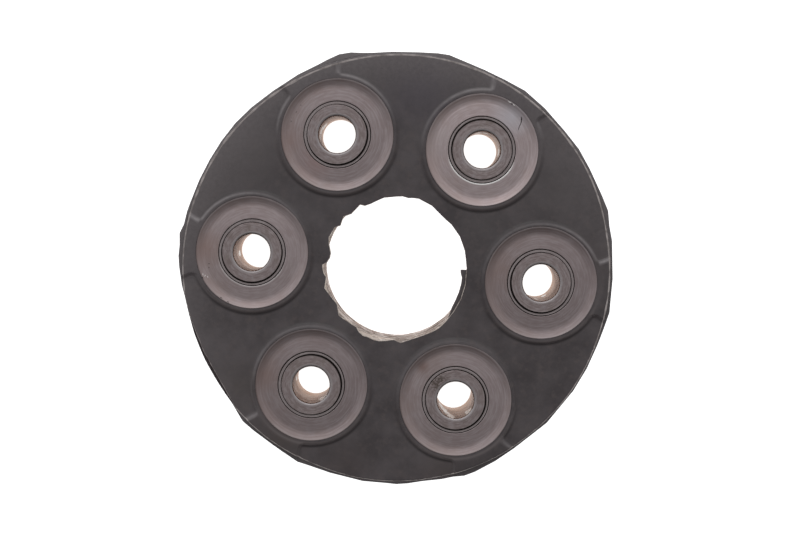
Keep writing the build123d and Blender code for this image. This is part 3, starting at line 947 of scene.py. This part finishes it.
# threads of torn rubber on the hole's wall: start and end angle, start and end height in mm
FRAYS = [(186, 205, 14.5, 13.0), (200, 226, 12.5, 14.6), (212, 240, 14.8, 12.0), (236, 262, 13.6, 14.9),
         (252, 281, 11.0, 13.5), (268, 300, 14.6, 12.2), (288, 316, 13.0, 14.2), (150, 168, 14.4, 13.2)]
FRAY_RADIUS = 24.28 * MM
FRAY_HALF = 0.16 * MM
FRAY_HEIGHT = 0.08 * MM
FRAY_STEP = 0.5              # degrees
FRAY_WOBBLE = 0.5            # how far a thread strays up and down, mm
FRAY_PACE = 0.2              # how fast it does so, per degree
for index, (start, finish, first_level, last_level) in enumerate(FRAYS):
    steps = round((finish - start) / FRAY_STEP)
    places = []
    for step in range(steps + 1):
        share = step / steps
        angle = start + share * (finish - start)
        level = first_level + share * (last_level - first_level)
        level += FRAY_WOBBLE * smooth_noise.noise(Vector((angle * FRAY_PACE, index, 0)))
        places.append(FRAY_RADIUS * flat_direction(angle) + Vector((0, 0, level * MM)))
    half_widths = [FRAY_HALF * wander(step, pace=0.3, seed=index) for step in range(steps + 1)]
    add_ridge(f"mouth_fray_{index + 1}", places, half_widths, FRAY_HEIGHT, torn_edge)


# ---- hair and chips on the flanges ---------------------------------------------------
def flange_place(surface, number, across, up):
    """Place on a bush's flange, from mm across and up from the bush's centre."""
    place = bush_centre(number) + Vector((across, up, 0)) * MM
    place.z = height_at(surface, place.x, place.y)
    return place


# dark hair on flange 2: mm from the bush's centre, half width in mm
HAIR = [(11.65, 12.23, 0.06), (11.85, 11.85, 0.20), (11.93, 11.45, 0.28), (11.93, 10.95, 0.18),
        (11.90, 10.50, 0.17), (11.75, 9.90, 0.14), (11.65, 9.50, 0.17), (11.42, 9.10, 0.12),
        (11.35, 8.60, 0.15), (11.30, 8.10, 0.12), (11.31, 7.60, 0.04)]
HAIR_HEIGHT = 0.05 * MM
flange_surfaces = {number: surface_tree(f"upper_flange_{number}") for number in (2, 3, 4)}
soot, _ = plain_material("dark_hair", (0.03, 0.024, 0.024), 0.6)
add_ridge("flange_hair_2", [flange_place(flange_surfaces[2], 2, x, y) for x, y, half in HAIR],
          [half * MM for x, y, half in HAIR], HAIR_HEIGHT, soot)

# chips and specks on the flanges: bush, mm across and up from its centre, length and half width
# in mm, direction in degrees, pale or dark
CHIPS = [
    (2, 7.45, 16.55, 1.3, 0.22, 155, "pale"), (2, 8.90, 15.80, 0.9, 0.20, 148, "pale"),
    (2, 8.15, 16.00, 0.8, 0.18, 153, "dark"),
    (4, -15.41, -8.96, 0.9, 0.16, 100, "pale"), (4, -14.65, -9.30, 0.8, 0.15, 60, "pale"),
    (4, -13.79, -9.62, 0.7, 0.15, 120, "pale"), (4, -15.38, -10.03, 0.8, 0.18, 130, "dark"),
    (4, -13.79, -5.27, 0.5, 0.16, 30, "dark"), (4, -13.66, -6.50, 0.6, 0.14, 110, "dark"),
    (4, -8.6, -16.0, 1.0, 0.15, 150, "dark"), (4, -6.2, -17.1, 0.8, 0.14, 160, "dark"),
    (3, -14.2, 6.0, 0.6, 0.13, 60, "dark"), (3, -13.0, 8.4, 0.5, 0.12, 20, "dark"),
    (3, -15.6, 2.8, 0.7, 0.12, 100, "dark"),
]
CHIP_HEIGHT = 0.04 * MM
# along a chip: place in half lengths from its middle, share of its half width
CHIP_OUTLINE = ((-1, 0.15), (-0.5, 0.8), (0, 1.0), (0.5, 0.7), (1, 0.15))
bare, _ = plain_material("bare_steel", (0.75, 0.72, 0.71), 0.5)
CHIP_MATERIALS = {"pale": bare, "dark": soot}
for index, (number, x, y, length, half, turn, shade) in enumerate(CHIPS):
    reach = length / 2 * flat_direction(turn)
    places = [flange_place(flange_surfaces[number], number, x + part * reach.x, y + part * reach.y)
              for part, _ in CHIP_OUTLINE]
    half_widths = [half * share * MM for _, share in CHIP_OUTLINE]
    add_ridge(f"flange_{number}_chip_{index + 1}", places, half_widths, CHIP_HEIGHT,
              CHIP_MATERIALS[shade])


# ---- floor ---------------------------------------------------------------------------
FLOOR_HALF = 5.0
floor_mesh = bpy.data.meshes.new("floor")
floor_mesh.from_pydata([(-FLOOR_HALF, -FLOOR_HALF, FLOOR), (FLOOR_HALF, -FLOOR_HALF, FLOOR),
                        (FLOOR_HALF, FLOOR_HALF, FLOOR), (-FLOOR_HALF, FLOOR_HALF, FLOOR)],
                       [], [(0, 1, 2, 3)])
floor = add_object("floor", floor_mesh)
light_table, floor_shader = plain_material("light_table", (0.8, 0.8, 0.8), 0.9)
floor_shader.inputs["Emission Color"].default_value = (1, 1, 1, 1)
floor_shader.inputs["Emission Strength"].default_value = 1.0
floor_mesh.materials.append(light_table)
